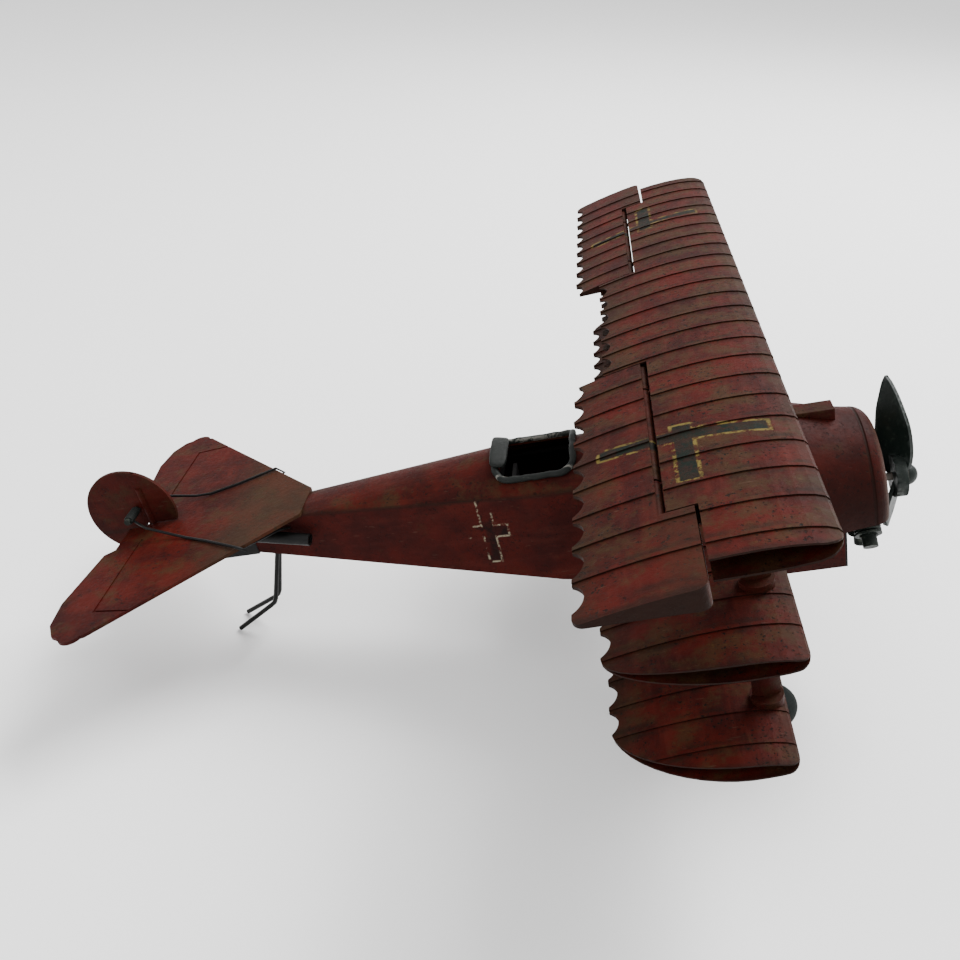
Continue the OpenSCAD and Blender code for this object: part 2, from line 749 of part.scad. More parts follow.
module wheel_place(s) { translate([axle_x, s * wheel_y, -axle_drop]) rotate([-90 * s, 0, 0]) children(); }
disc_r = tyre_r - 2 * tyre_section_r + 0.9;
hub_half = 4;
module wheel() {
    difference() {
        union() {
            cylinder(h = 2.4, r = disc_r, center = true);
            cylinder(h = 2 * hub_half, r = 3.4, center = true);
            for (m = [0, 1]) mirror([0, 0, m]) translate([0, 0, 1.2]) cylinder(h = 2, r1 = disc_r - 2, r2 = 3.4);
        }
        cylinder(h = 40, r = axle_r + running, center = true);
        tyre_ring(0);
    }
}
module tyre_ring(grow) {
    rotate_extrude($fn = 96) translate([tyre_r - tyre_section_r, 0]) circle(tyre_section_r + grow, $fn = 40);
}
module wheel_left() color("darkslategray") stand() wheel_place(1) wheel();
module wheel_right() color("darkslategray") stand() wheel_place(-1) wheel();
module tyre_left() color("darkslategray") stand() wheel_place(1) tyre_ring(0);
module tyre_right() color("darkslategray") stand() wheel_place(-1) tyre_ring(0);
module axle_cap() {
    translate([0, 0, hub_half + hub_gap]) difference() {
        cylinder(h = 2.4, r = 3);
        translate([0, 0, -1]) cylinder(h = 10, r = axle_r);
    }
}
module axle_cap_left() color("dimgray") stand() wheel_place(1) axle_cap();
module axle_cap_right() color("dimgray") stand() wheel_place(-1) axle_cap();

// ---------- Tail ----------
tail_corner = 5;
tail_tip_x = -265;
slot_half = 2.6;
module tail_outline() {
    h = tail_half_span;
    difference() {
        for (m = [0, 1]) mirror([0, m]) {
            polygon([[tail_front_x, 0], [tail_front_x, 10.5], [tail_tip_x + 5, h - 3.5], [tail_tip_x - 3, h - 1.6],
                [-274, h - 4.8], [-278.2, h - 12], [-280, h - 26], [-276, 22], [-272, 19], [-272, 0]]);
            translate([tail_tip_x - 1, h - tail_corner]) circle(tail_corner);
        }
        translate([-300, -slot_half]) square([300 + hinge_x - 2.4, 2 * slot_half]);
    }
}
groove = 0.4;
module tailplane() color("firebrick") stand() difference() {
    translate([0, 0, tail_z]) linear_extrude(tail_t) tail_outline();
    for (m = [0, 1]) mirror([0, m, 0]) translate([0, 0, tail_z + tail_t - groove]) linear_extrude(2) {
        translate([-262.4, 13]) square([0.9, 50]);
        translate([-262.4, 62]) rotate(8) square([20, 0.9]);
    }
    translate([hinge_x, 0, 0]) cylinder(h = 100, r = hinge_r);
    rear_deck_hull(0);
}

post_low_z = belly_at(post_x) - 4;
module tail_post() color("darkslategray") stand() difference() {
    translate([hinge_x - 1.6, -post_half_w, post_low_z])
        cube([post_x - hinge_x + 1.6, 2 * post_half_w, tail_z - post_low_z]);
    translate([hinge_x, 0, 0]) cylinder(h = 100, r = hinge_r);
}

rudder_clear = 0.5;
knuckle_low_z = tail_z + tail_t + rudder_clear;
knuckle_high_z = rudder_z + rudder_r * 0.55;
module rudder() color("firebrick") stand() difference() {
    union() {
        translate([rudder_x, 0, rudder_z]) rotate([90, 0, 0]) cylinder(h = rudder_t, r = rudder_r, center = true, $fn = 96);
        translate([hinge_x, 0, knuckle_low_z]) cylinder(h = knuckle_high_z - knuckle_low_z, r = 1.7);
    }
    translate([hinge_x - 3.6, -10, -10]) cube([60, 20, 10 + knuckle_low_z]);
    translate([hinge_x, 0, 0]) cylinder(h = 100, r = hinge_r + running);
    translate([horn_x, 0, horn_z]) rotate([90, 0, 0]) cylinder(h = 60, r = horn_r, center = true);
}
module rudder_pin() color("silver") stand()
    translate([hinge_x, 0, post_low_z + 1]) cylinder(h = knuckle_high_z + 1 - post_low_z - 1, r = hinge_r);
module rudder_horn() color("dimgray") stand()
    translate([horn_x, 0, horn_z]) rotate([90, 0, 0]) cylinder(h = 2 * horn_half_len, r = horn_r, center = true);

// Turns of wire round both ends of the horn
turns = 7;
module horn_bindings() color("darkslategray") stand() for (m = [0, 1], i = [0 : turns - 1]) mirror([0, m, 0])
    translate([horn_x, 1.8 + i * 1.3, horn_z]) rotate([-90, 0, 0]) difference() {
        cylinder(h = 1.3, r = binding_r);
        translate([0, 0, -1]) cylinder(h = 4, r = horn_r);
    }

cable_z = tail_z + tail_t + cable_r + 0.1;
cable_route = [[horn_x + binding_r + cable_r, horn_half_len - 1.5, horn_z - 0.5], [-258, 13, horn_z - 3.2],
    [-246, 15.5, cable_z + 1], [-240, 17.5, cable_z], [-228, 23, cable_z], [-212.2, 31.6, cable_z + 0.3],
    [-208.8, 31, tail_z], [-211, 27, tail_z - cable_r - 0.5], [-200, 14, 23.6], [-196, 11.2, 22.5]];
module control_cable() {
    difference() {
        wire(cable_route, cable_r, [0, 0, 1]);
        fuselage_solid(0);
    }
}
module control_cable_left() color("black") stand() control_cable();
module control_cable_right() color("black") stand() mirror([0, 1, 0]) control_cable();

brace_r = 2.6;
brace_front = [-188, 14.4, 17];
brace_rear = [-232, 9.6, tail_z - brace_r - 0.1];
module brace() {
    difference() {
        bar(brace_front, brace_rear, brace_r);
        bar(brace_front + [1, 0, 0], brace_rear + (brace_front - brace_rear) * 0.7, brace_r - 1);
        fuselage_solid(0);
        translate([0, 0, tail_z]) linear_extrude(tail_t) tail_outline();
    }
}
module brace_left() color("darkslategray") stand() brace();
module brace_right() color("darkslategray") stand() mirror([0, 1, 0]) brace();

module skid(s) {
    difference() {
        wire([[skid_top[0], s * 1.3, belly_at(skid_top[0]) + 1], [skid_bend[0] + 1, s * skid_spread, skid_bend[1] + 2],
            [skid_bend[0] - 0.4, s * skid_spread, skid_bend[1] - 0.3],
            [skid_bend[0] - 2.6, s * skid_spread, skid_bend[1] - 1.8],
            [skid_foot[0], s * (skid_spread + 3), skid_foot[1]]], skid_r, [0, 1, 0]);

        fuselage_solid(0);
    }
}
module tail_skid_left() color("black") stand() skid(1);
module tail_skid_right() color("black") stand() skid(-1);

module tail_plate() color("darkslategray") stand() difference() {
    translate([-236, -7, belly_at(-236) - 4.5]) cube([20, 14, 12]);
    translate([-236, -8, belly_at(-236) - 8]) rotate([0, 10.5, 0]) cube([30, 16, 4]);
    fuselage_solid(0);
    translate([-240, -30, tail_z - 12]) cube([60, 60, 20]);
}

fuselage_shell();
firewall();
front_deck();
cockpit_deck();
rear_deck();
coaming();
headrest();
seat();
cowling();
cowl_strip();
crankcase();
cylinders();
propeller_shaft();
propeller();
propeller_washer();
propeller_nut();
top_wing_skin();
top_wing_underside();
top_wing_ribs();
middle_wing_skin();
middle_wing_underside();
lower_wing_left_skin();
lower_wing_left_underside();
lower_wing_right_skin();
lower_wing_right_underside();
aileron_left();
aileron_right();
aileron_pin_left();
aileron_pin_right();
upper_strut_left();
upper_strut_right();
lower_strut_left();
lower_strut_right();
strut_sockets();
cabane_left();
cabane_right();
leg_left();
leg_right();
axle();
axle_fairing();
wheel_left();
wheel_right();
tyre_left();
tyre_right();
axle_cap_left();
axle_cap_right();
tailplane();
tail_post();
rudder();
rudder_pin();
rudder_horn();
horn_bindings();
control_cable_left();
control_cable_right();
brace_left();
brace_right();
tail_skid_left();
tail_skid_right();
tail_plate();
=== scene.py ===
# %% [markdown]
# # A sheet-metal triplane model, aged and repainted by hand
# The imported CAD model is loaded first. Its parts keep their size and place here. What this lesson
# adds is how they look: worn paint, soft dents, padded edging and a few pieces with finer shapes.

# %% Load the frame
import json
import math

import bmesh
import bpy
from mathutils import Matrix, Vector, noise


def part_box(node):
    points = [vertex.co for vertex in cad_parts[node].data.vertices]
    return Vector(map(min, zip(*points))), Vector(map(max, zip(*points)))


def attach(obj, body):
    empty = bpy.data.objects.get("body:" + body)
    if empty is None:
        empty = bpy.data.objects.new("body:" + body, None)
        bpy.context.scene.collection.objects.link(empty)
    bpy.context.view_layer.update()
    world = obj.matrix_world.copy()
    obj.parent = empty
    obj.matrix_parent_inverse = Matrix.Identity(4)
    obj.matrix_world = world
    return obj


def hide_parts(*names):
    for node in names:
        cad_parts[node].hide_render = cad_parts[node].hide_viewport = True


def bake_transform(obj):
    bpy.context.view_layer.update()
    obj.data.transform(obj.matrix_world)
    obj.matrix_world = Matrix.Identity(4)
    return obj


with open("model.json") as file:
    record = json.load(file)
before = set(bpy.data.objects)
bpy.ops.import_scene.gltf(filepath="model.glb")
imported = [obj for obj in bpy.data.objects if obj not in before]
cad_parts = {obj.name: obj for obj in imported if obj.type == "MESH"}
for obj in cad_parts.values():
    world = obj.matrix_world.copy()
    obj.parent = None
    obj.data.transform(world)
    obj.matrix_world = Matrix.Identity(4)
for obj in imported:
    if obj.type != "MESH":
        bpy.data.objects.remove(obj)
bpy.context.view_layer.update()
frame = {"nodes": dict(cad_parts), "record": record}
nodes = frame["nodes"]
mm = 0.001
print("parts in the frame:", len(nodes))

# %% [markdown]
# ## Where the aeroplane's own axes lie
# The model stands nose up on its wheels and tail skid, so its own level axes are tilted against the
# floor. The propeller's joint gives them: its axis is the thrust line. Patterns that follow
# the wings or the fuselage are drawn in these level axes, in millimetres.

# %% Level axes from the propeller joint
joints = {j["name"]: j for j in frame["record"]["behaviour"]["joints"]}
thrust = Vector(joints["propeller_turn"]["axis"])
hub = Vector(joints["propeller_turn"]["pos_m"])
nose_up = math.atan2(thrust.z, thrust.x)
hub_ahead = 51.8
level_origin = hub - thrust * hub_ahead * mm
to_ground = Matrix.Translation(level_origin) @ Matrix.Rotation(-nose_up, 4, "Y") @ Matrix.Scale(mm, 4)
print("nose up by", round(math.degrees(nose_up), 2), "degrees")


def ground(x, y, z):
    """A point of the level axes, in millimetres, as a point of the frame, in metres."""
    return to_ground @ Vector((x, y, z))


# %% [markdown]
# ## The camera
# It looks at the model's right side from a little above, almost square on, with a moderately
# long lens. The three columns are where the camera's right, up and back point.

# %% Camera
camera_data = bpy.data.cameras.new("camera")
camera = bpy.data.objects.new("camera", camera_data)
bpy.context.collection.objects.link(camera)
right = Vector((0.99638, 0.08304, 0.01797))
up = Vector((-0.06, 0.53797, 0.84083))
behind = right.cross(up).normalized()
up = behind.cross(right).normalized()
camera.matrix_world = Matrix.Translation((0.02583, -0.34564, 0.29656)) @ Matrix(
    (right.normalized(), up, behind)).transposed().to_4x4()
camera_data.sensor_width = 36
camera_data.lens = 36.569
camera_data.shift_x = -0.0061875
camera_data.shift_y = 0.0252396
camera_data.clip_start = 0.01
bpy.context.scene.camera = camera
print("camera at", [round(v, 3) for v in camera.location])

# %% [markdown]
# ## Floor and light
# A pale sheet lies under the model. One large soft lamp stands high on the far side, so the side
# facing the camera falls into shade, and the sky fills the shadows evenly.

# %% Floor
floor_mesh = bpy.data.meshes.new("floor")
sheet = bmesh.new()
bmesh.ops.create_grid(sheet, x_segments=2, y_segments=2, size=6)
sheet.to_mesh(floor_mesh)
sheet.free()
floor = bpy.data.objects.new("floor", floor_mesh)
bpy.context.collection.objects.link(floor)
floor_paint = bpy.data.materials.new("pale_floor")
floor_paint.use_nodes = True
floor_shader = floor_paint.node_tree.nodes["Principled BSDF"]
floor_shader.inputs["Base Color"].default_value = (0.97, 0.97, 0.97, 1)
floor_shader.inputs["Roughness"].default_value = 0.9
floor_shader.inputs["Specular IOR Level"].default_value = 0.1
floor_mesh.materials.append(floor_paint)

# %% Light
sky = bpy.data.worlds.new("sky")
sky.use_nodes = True
sky.node_tree.nodes["Background"].inputs["Color"].default_value = (1, 1, 1, 1)
sky.node_tree.nodes["Background"].inputs["Strength"].default_value = 1.25
bpy.context.scene.world = sky


def lamp(name, place, size, energy):
    """A soft square lamp that points at the middle of the model."""
    data = bpy.data.lights.new(name, "AREA")
    data.size = size
    data.energy = energy
    light = bpy.data.objects.new(name, data)
    bpy.context.collection.objects.link(light)
    light.location = place
    light.rotation_euler = (Vector((0, 0, 0.08)) - Vector(place)).to_track_quat("-Z", "Y").to_euler()
    return light


lamp("key", (0.75, 0.85, 1.5), 1.0, 56)
lamp("fill", (-0.6, -0.9, 1.4), 1.6, 7)
print("floor and two lamps")

# %% [markdown]
# ## A small bench for node materials
# Every finish is a tree of nodes. `Finish` holds one tree and gives short names to the nodes used
# most: noise for blotches, a ramp for a threshold, a mix for two colours, and plain
# arithmetic. All patterns start from Object coordinates, so they stay on the part when it moves.

# %% Finish: helper for one material


class Finish:
    """One procedural material, with its level coordinates ready to use."""

    def __init__(self, name, roughness=0.6, metal=0.0, gloss=0.05):
        self.material = bpy.data.materials.new(name)
        self.material.use_nodes = True
        self.tree = self.material.node_tree
        self.shader = self.tree.nodes["Principled BSDF"]
        self.shader.inputs["Metallic"].default_value = metal
        self.shader.inputs["Roughness"].default_value = roughness
        self.shader.inputs["Specular IOR Level"].default_value = gloss
        self.place = self.node("ShaderNodeTexCoord").outputs["Object"]
        mapping = self.node("ShaderNodeMapping")
        mapping.inputs["Scale"].default_value = (1 / mm, 1 / mm, 1 / mm)
        mapping.inputs["Rotation"].default_value = (0, nose_up, 0)
        turned = Matrix.Rotation(nose_up, 3, "Y") @ level_origin / mm
        mapping.inputs["Location"].default_value = -turned
        self.link(self.place, mapping.inputs["Vector"])
        self.level = mapping.outputs["Vector"]
        split = self.node("ShaderNodeSeparateXYZ")
        self.link(self.level, split.inputs["Vector"])
        self.x, self.y, self.z = split.outputs

    def node(self, kind):
        return self.tree.nodes.new(kind)

    def link(self, source, socket):
        self.tree.links.new(source, socket)

    def put(self, value, socket):
        """A socket's value, or a link into it."""
        if isinstance(value, bpy.types.NodeSocket):
            self.link(value, socket)
        else:
            socket.default_value = value

    def math(self, operation, a, b=0.0, c=0.0):
        node = self.node("ShaderNodeMath")
        node.operation = operation
        for value, socket in zip((a, b, c), node.inputs):
            self.put(value, socket)
        return node.outputs[0]

    def noise(self, per_mm, detail=3.0, rough=0.6, where=None, stretch=None):
        """Blotches from 0 to 1; per_mm is how many blotches there are in a millimetre."""
        node = self.node("ShaderNodeTexNoise")
        node.inputs["Scale"].default_value = per_mm
        node.inputs["Detail"].default_value = detail
        node.inputs["Roughness"].default_value = rough
        source = where or self.level
        if stretch:
            mapping = self.node("ShaderNodeMapping")
            mapping.inputs["Scale"].default_value = stretch
            self.link(source, mapping.inputs["Vector"])
            source = mapping.outputs["Vector"]
        self.link(source, node.inputs["Vector"])
        return node.outputs["Fac"]

    def ramp(self, value, low, high):
        """0 below low, 1 above high, smooth between."""
        node = self.node("ShaderNodeMapRange")
        node.interpolation_type = "SMOOTHSTEP"
        self.put(value, node.inputs["Value"])
        node.inputs["From Min"].default_value = low
        node.inputs["From Max"].default_value = high
        return node.outputs["Result"]

    def mix(self, share, a, b):
        node = self.node("ShaderNodeMix")
        node.data_type = "RGBA"
        self.put(share, node.inputs["Factor"])
        for value, socket in ((a, node.inputs["A"]), (b, node.inputs["B"])):
            self.put(value if isinstance(value, bpy.types.NodeSocket) else (*value, 1), socket)
        return node.outputs["Result"]

    def colour(self, value):
        self.put(value, self.shader.inputs["Base Color"])

    def rough(self, value):
        self.put(value, self.shader.inputs["Roughness"])

    def bump(self, height, depth_mm, strength=1.0):
        node = self.node("ShaderNodeBump")
        node.inputs["Distance"].default_value = depth_mm * mm
        node.inputs["Strength"].default_value = strength
        self.link(height, node.inputs["Height"])
        previous = self.shader.inputs["Normal"]
        if previous.is_linked:
            self.link(previous.links[0].from_socket, node.inputs["Normal"])
        self.link(node.outputs["Normal"], previous)


print("Finish is ready")

# %% [markdown]
# ## Worn oxide-red paint
# On the real model red paint was brushed over sheet metal, then rubbed, stained and left to
# darken. It is built in layers: a red that drifts between bright and maroon, streaks that
# run along the wing, brown-olive grime, and small dark pits where rust came through. The same layers
# serve every red part, with the amounts changed from part to part.

# %% Paint layers
red_bright = (0.054, 0.0052, 0.0030)
red_deep = (0.024, 0.0034, 0.0026)
grime_brown = (0.034, 0.0185, 0.0075)
# Dark grime; through darken it is also the colour of the painted rib shadows.
dark_grime_and_shade = (0.009, 0.0055, 0.0034)
pit_black = (0.003, 0.003, 0.0025)


def paint_layers(f, grime=0.5, pits=0.5, seed=0.0, streak=(1, 1, 1)):
    """The worn red as a colour socket, with roughness and bump already joined."""
    moved = f.node("ShaderNodeMapping")
    moved.inputs["Location"].default_value = (seed * 13.7, seed * 7.1, seed * 3.3)
    f.link(f.level, moved.inputs["Vector"])
    where = moved.outputs["Vector"]
    drift = f.ramp(f.noise(0.045, 4, 0.65, where), 0.36, 0.66)
    red = f.mix(drift, red_deep, red_bright)
    brushed = f.noise(0.12, 5, 0.7, where, streak)
    red = f.mix(f.math("MULTIPLY", f.ramp(brushed, 0.45, 0.75), 0.45), red, (0.075, 0.014, 0.009))
    blotch = f.noise(0.085, 6, 0.72, where)
    cover = f.ramp(blotch, 0.66 - 0.3 * grime, 0.80 - 0.24 * grime)
    red = f.mix(f.math("MULTIPLY", cover, 0.35 + 0.5 * grime), red, grime_brown)
    fine = f.noise(0.55, 5, 0.75, where)
    red = f.mix(f.math("MULTIPLY", f.ramp(fine, 0.56, 0.72), 0.25 + 0.5 * grime), red, dark_grime_and_shade)
    specks = f.noise(0.8, 3, 0.6, where)
    patch = f.ramp(f.noise(0.06, 3, 0.6, where), 0.40, 0.56)
    pit = f.math("MULTIPLY", f.ramp(specks, 0.60, 0.635), patch)
    red = f.mix(f.math("MULTIPLY", pit, pits), red, pit_black)
    ochre = f.math("MULTIPLY", f.ramp(f.noise(0.9, 3, 0.6, where), 0.60, 0.68), cover)
    red = f.mix(f.math("MULTIPLY", ochre, 0.55 * grime), red, (0.060, 0.034, 0.010))
    scratch = f.ramp(f.noise(0.9, 2, 0.5, where, (0.15, 1.7, 1)), 0.70, 0.735)
    red = f.mix(f.math("MULTIPLY", scratch, 0.35), red, (0.085, 0.050, 0.034))
    f.rough(f.math("MULTIPLY_ADD", fine, 0.35, 0.38))
    f.bump(f.math("MULTIPLY_ADD", pit, -0.6, f.noise(0.35, 6, 0.7, where)), 0.35, 0.75)
    return red


def band(f, value, middle, half, soft=0.5):
    """1 inside middle ± half, falling to 0 within soft."""
    away = f.math("ABSOLUTE", f.math("SUBTRACT", value, middle))
    return f.math("SUBTRACT", 1.0, f.ramp(away, half - soft / 2, half + soft / 2))


def darken(f, colour, share, strength, tint=dark_grime_and_shade):
    return f.mix(f.math("MULTIPLY", share, strength), colour, tint)


print("paint layers are ready")

# %% [markdown]
# ## Wings: painted rib shadows, painted shade on the ends, a dirty trailing edge and plain crosses
# A painted shadow lies beside every pressed rib, and dirt gathers towards the scalloped edge. The ribs
# repeat at one pitch, so one distance-to-the-nearest-rib value draws them all. The folded wing ends and
# the faces turned sideways or downwards are darkened as painted shade. The crosses are plain straight
# bars with a worn yellow edge, and noise eats into both.

# %% Wing patterns
rib_pitch = 13.9
cross_y = 97.0


def rib_painted_shadow(f):
    """1 beside a rib, where the painted shadow goes, 0 between ribs."""
    from_rib = f.math("PINGPONG", f.math("ABSOLUTE", f.y), rib_pitch / 2)
    wander = f.math("MULTIPLY_ADD", f.noise(0.25, 3), 1.6, -0.8)
    at_rib = band(f, f.math("ADD", from_rib, wander), 1.9, 1.2, 2.0)
    broken = f.ramp(f.noise(0.09, 4, 0.6), 0.42, 0.62)
    return f.math("MULTIPLY", at_rib, broken)


def bars(f, u, v, u_range, v_range, grow, ragged=0.7):
    """A rectangle in two coordinates with slightly ragged edges."""
    wander = f.math("MULTIPLY_ADD", f.noise(0.6, 4, 0.7), ragged, -ragged / 2)
    a = band(f, f.math("ADD", u, wander), sum(u_range) / 2, (u_range[1] - u_range[0]) / 2 + grow)
    b = band(f, f.math("ADD", v, wander), sum(v_range) / 2, (v_range[1] - v_range[0]) / 2 + grow)
    return f.math("MULTIPLY", a, b)


def cross(f, colour, u, v, arms, edge_mm, edge_colour, wear, fill_colour=(0.0055, 0.009, 0.0065)):
    """Paints a cross made of bars, with a broken outline, over a colour."""
    outer = None
    inner = None
    for u_range, v_range in arms:
        big = bars(f, u, v, u_range, v_range, edge_mm)
        small = bars(f, u, v, u_range, v_range, 0)
        outer = big if outer is None else f.math("MAXIMUM", outer, big)
        inner = small if inner is None else f.math("MAXIMUM", inner, small)
    kept = f.ramp(f.noise(0.28, 5, 0.75), wear - 0.05, wear + 0.05)
    outline = f.math("MULTIPLY", f.math("SUBTRACT", outer, inner), kept)
    colour = f.mix(outline, colour, edge_colour)
    body = f.math("MULTIPLY", inner, f.math("MULTIPLY_ADD", kept, 0.35, 0.65))
    return f.mix(body, colour, fill_colour)


def wing_cross(f, colour):
    """The cross on the top wing, the same on both sides; it runs on over the aileron."""
    from_root = f.math("ABSOLUTE", f.y)
    back = f.math("MULTIPLY", f.x, -1.0)
    leaning = f.math("MULTIPLY_ADD", f.math("SUBTRACT", 56.0, back), -0.12, from_root)
    arms = [((cross_y - 2.3, cross_y + 2.3), (9, 56)), ((cross_y - 6, cross_y + 24), (29.5, 34.5))]
    return cross(f, colour, leaning, back, arms, 1.1, (0.115, 0.085, 0.022), 0.50)


def painted_shade_sideways(f):
    """1 where the sheet faces the wing tip or points down; these faces are darkened as painted shade."""
    normal = f.node("ShaderNodeSeparateXYZ")
    f.link(f.node("ShaderNodeNewGeometry").outputs["Normal"], normal.inputs["Vector"])
    sideways = f.ramp(f.math("ABSOLUTE", normal.outputs["Y"]), 0.45, 0.75)
    downwards = f.math("SUBTRACT", 1.0, f.ramp(normal.outputs["Z"], -0.5, 0.0))
    return f.math("MAXIMUM", sideways, downwards)


def tip_painted_shade(f, tip):
    """1 on the folded-over end of a wing, which gets painted shade, 0 inboard of it."""
    wander = f.math("MULTIPLY_ADD", f.noise(0.3, 4), 2.4, -1.2)
    return f.ramp(f.math("ADD", f.math("ABSOLUTE", f.y), wander), tip - 2.6, tip - 0.4)


def wing_finish(name, back_edge, front_edge, grime, seed, tip, crossed=False):
    f = Finish(name)
    colour = paint_layers(f, grime, 0.9, seed, (1.6, 0.25, 1))
    aft = f.ramp(f.x, back_edge, back_edge + 14)
    wander = f.math("MULTIPLY_ADD", f.noise(0.12, 5, 0.7), 0.9, 0.25)
    edge_dirt = f.math("MULTIPLY", f.math("SUBTRACT", 1.0, aft), wander)
    colour = darken(f, colour, edge_dirt, 0.75, (0.019, 0.012, 0.006))
    near_front = f.ramp(f.x, front_edge - 5, front_edge + 1)
    colour = darken(f, colour, f.math("MULTIPLY", near_front, wander), 0.55, (0.022, 0.014, 0.0075))
    if crossed:
        colour = wing_cross(f, colour)
    # Painted shadow beside each pressed rib.
    colour = darken(f, colour, rib_painted_shadow(f), 0.55)
    # Painted shade on the folded wing ends.
    colour = darken(f, colour, tip_painted_shade(f, tip), 0.6, (0.012, 0.005, 0.0035))
    # Painted shade on faces turned towards the tip or downwards.
    f.colour(darken(f, colour, painted_shade_sideways(f), 0.8, (0.010, 0.0045, 0.003)))
    return f.material


half_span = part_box("aileron_left")[1][1] / mm
top_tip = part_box("top_wing_skin")[1][1] / mm
middle_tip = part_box("middle_wing_skin")[1][1] / mm
lower_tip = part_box("lower_wing_left_skin")[1][1] / mm
finishes = {
    "top_wing": wing_finish("top_wing_red", -55, -2, 0.75, 1, top_tip, True),
    "aileron": wing_finish("aileron_red", -66, -40, 0.60, 2, half_span, True),
    "middle_wing": wing_finish("middle_wing_red", -66, -8, 0.70, 3, middle_tip),
    "lower_wing": wing_finish("lower_wing_red", -68, -12, 0.62, 4, lower_tip),
}
print("wing finishes:", len(finishes))

# %% [markdown]
# ## Fuselage, cowl and tail
# The sides stayed cleaner; their red is darkened as a whole as painted shade, and the inside under the
# cockpit opening is painted shade almost to black. A scratched line marks the crease where the side sheet
# folds, and each side carries a cross of which mostly the pale outline is left. The whole cowl is
# darkened by painted shade from the top wing, more towards its bottom; its rim is rubbed down to a
# lighter tone and has a pressed seam behind it.

# %% Fuselage finish
crease_z = 26.7
cowl_seam_x = 36.5


def side_cross(f, colour):
    along = f.math("MULTIPLY", f.x, -1.0)
    arms = [((109.2, 113.4), (-3, 28)), ((103.5, 119.5), (9.5, 14))]
    painted = cross(f, colour, along, f.z, arms, 0.9, (0.30, 0.27, 0.19), 0.50, (0.004, 0.0035, 0.003))
    rubbed = f.math("MAXIMUM", f.ramp(f.z, 15, 18), f.ramp(f.x, -111, -113.5))
    patchy = f.ramp(f.noise(0.16, 4, 0.6), 0.40, 0.50)
    painted = f.mix(f.math("MULTIPLY", rubbed, patchy), painted, colour)
    on_side = f.ramp(f.math("ABSOLUTE", f.y), 15.0, 16.0)
    below_crease = f.math("SUBTRACT", 1.0, f.ramp(f.z, 27.5, 28.5))
    return f.mix(f.math("MULTIPLY", on_side, below_crease), colour, painted)


def in_cockpit(f):
    """1 on the inner faces of the shell under the cockpit opening, which are darkened as painted shade.
    """
    along = band(f, f.x, -88.7, 16.5, 1)
    narrowing = f.math("MINIMUM", f.math("MULTIPLY", f.math("ADD", f.x, 85.0), 0.1127), 0.0)
    from_wall = f.math("SUBTRACT", f.math("ABSOLUTE", f.y), narrowing)
    inner = f.math("SUBTRACT", 1.0, f.ramp(from_wall, 20.6, 21.1))
    under = f.math("SUBTRACT", 1.0, f.ramp(f.z, 36.0, 36.5))
    return f.math("MULTIPLY", along, f.math("MULTIPLY", inner, under))


def body_finish(name, grime, seed, darker_low=True, with_cross=False, shade=0.0):
    f = Finish(name)
    colour = paint_layers(f, grime, 0.6, seed, (0.25, 1, 1.6))
    colour = darken(f, colour, band(f, f.z, crease_z, 0.9, 1.2), 0.55)
    # Darker towards the bottom.
    if darker_low:
        colour = darken(f, colour, f.ramp(f.z, -12, -27), 0.5, (0.014, 0.007, 0.005))
    if shade:
        colour = f.mix(shade, colour, (0.012, 0.004, 0.003))
    if with_cross:
        colour = side_cross(f, colour)
        # Painted shade: the fuselage sides face away from the lamp, so their red is darkened as a whole.
        colour = f.mix(0.35, colour, (0.020, 0.004, 0.0035))
        # Painted shade inside the cockpit recess, almost black.
        colour = f.mix(in_cockpit(f), colour, (0.0025, 0.002, 0.002))
    f.colour(colour)
    return f.material


finishes["fuselage"] = body_finish("fuselage_red", 0.28, 5, True, True)
finishes["deck"] = body_finish("deck_red", 0.66, 6, False, shade=0.15)
finishes["metalwork"] = body_finish("strut_red", 0.7, 7, False, shade=0.5)
finishes["rudder"] = body_finish("rudder_red", 0.6, 9, False, shade=0.3)


def tail_finish():
    f = Finish("tail_red")
    colour = paint_layers(f, 0.55, 0.7, 8, (1, 0.4, 1))
    wander = f.math("MULTIPLY_ADD", f.noise(0.15, 5, 0.7), 10, -5)
    front = f.ramp(f.math("ADD", f.x, wander), -238, -212)
    f.colour(darken(f, colour, front, 0.5, (0.030, 0.022, 0.011)))
    return f.material


def cowl_finish():
    f = Finish("cowl_red")
    colour = paint_layers(f, 0.42, 0.7, 10, (0.4, 1, 1))
    seam = band(f, f.x, cowl_seam_x, 0.5, 0.7)
    colour = darken(f, colour, seam, 0.75)
    rim = f.ramp(f.math("ADD", f.x, f.math("MULTIPLY_ADD", f.noise(0.3, 4), 3, -1.5)), 39.6, 41.6)
    # Painted shade: the top wing's shadow darkens the whole cowl, more towards its bottom.
    painted_shade_low = f.math("SUBTRACT", 1.0, f.ramp(f.z, 6, 30))
    colour = f.mix(f.math("MULTIPLY_ADD", painted_shade_low, 0.5, 0.3), colour, (0.012, 0.0042, 0.0032))
    colour = f.mix(f.math("MULTIPLY", rim, 0.45), colour, (0.060, 0.032, 0.022))
    f.colour(colour)
    f.bump(f.math("MULTIPLY", seam, -1.0), 0.5)
    return f.material


finishes["tail"] = tail_finish()
finishes["cowl"] = cowl_finish()
print("red finishes so far:", len(finishes))

# %% [markdown]
# ## Dark green, iron, wire and edging
# The propeller and the wheels were brushed dark green, the engine is dull iron with greenish dirt
# between its fins, and the wire is black with the scale rubbed off in places.

# %% Dark finishes


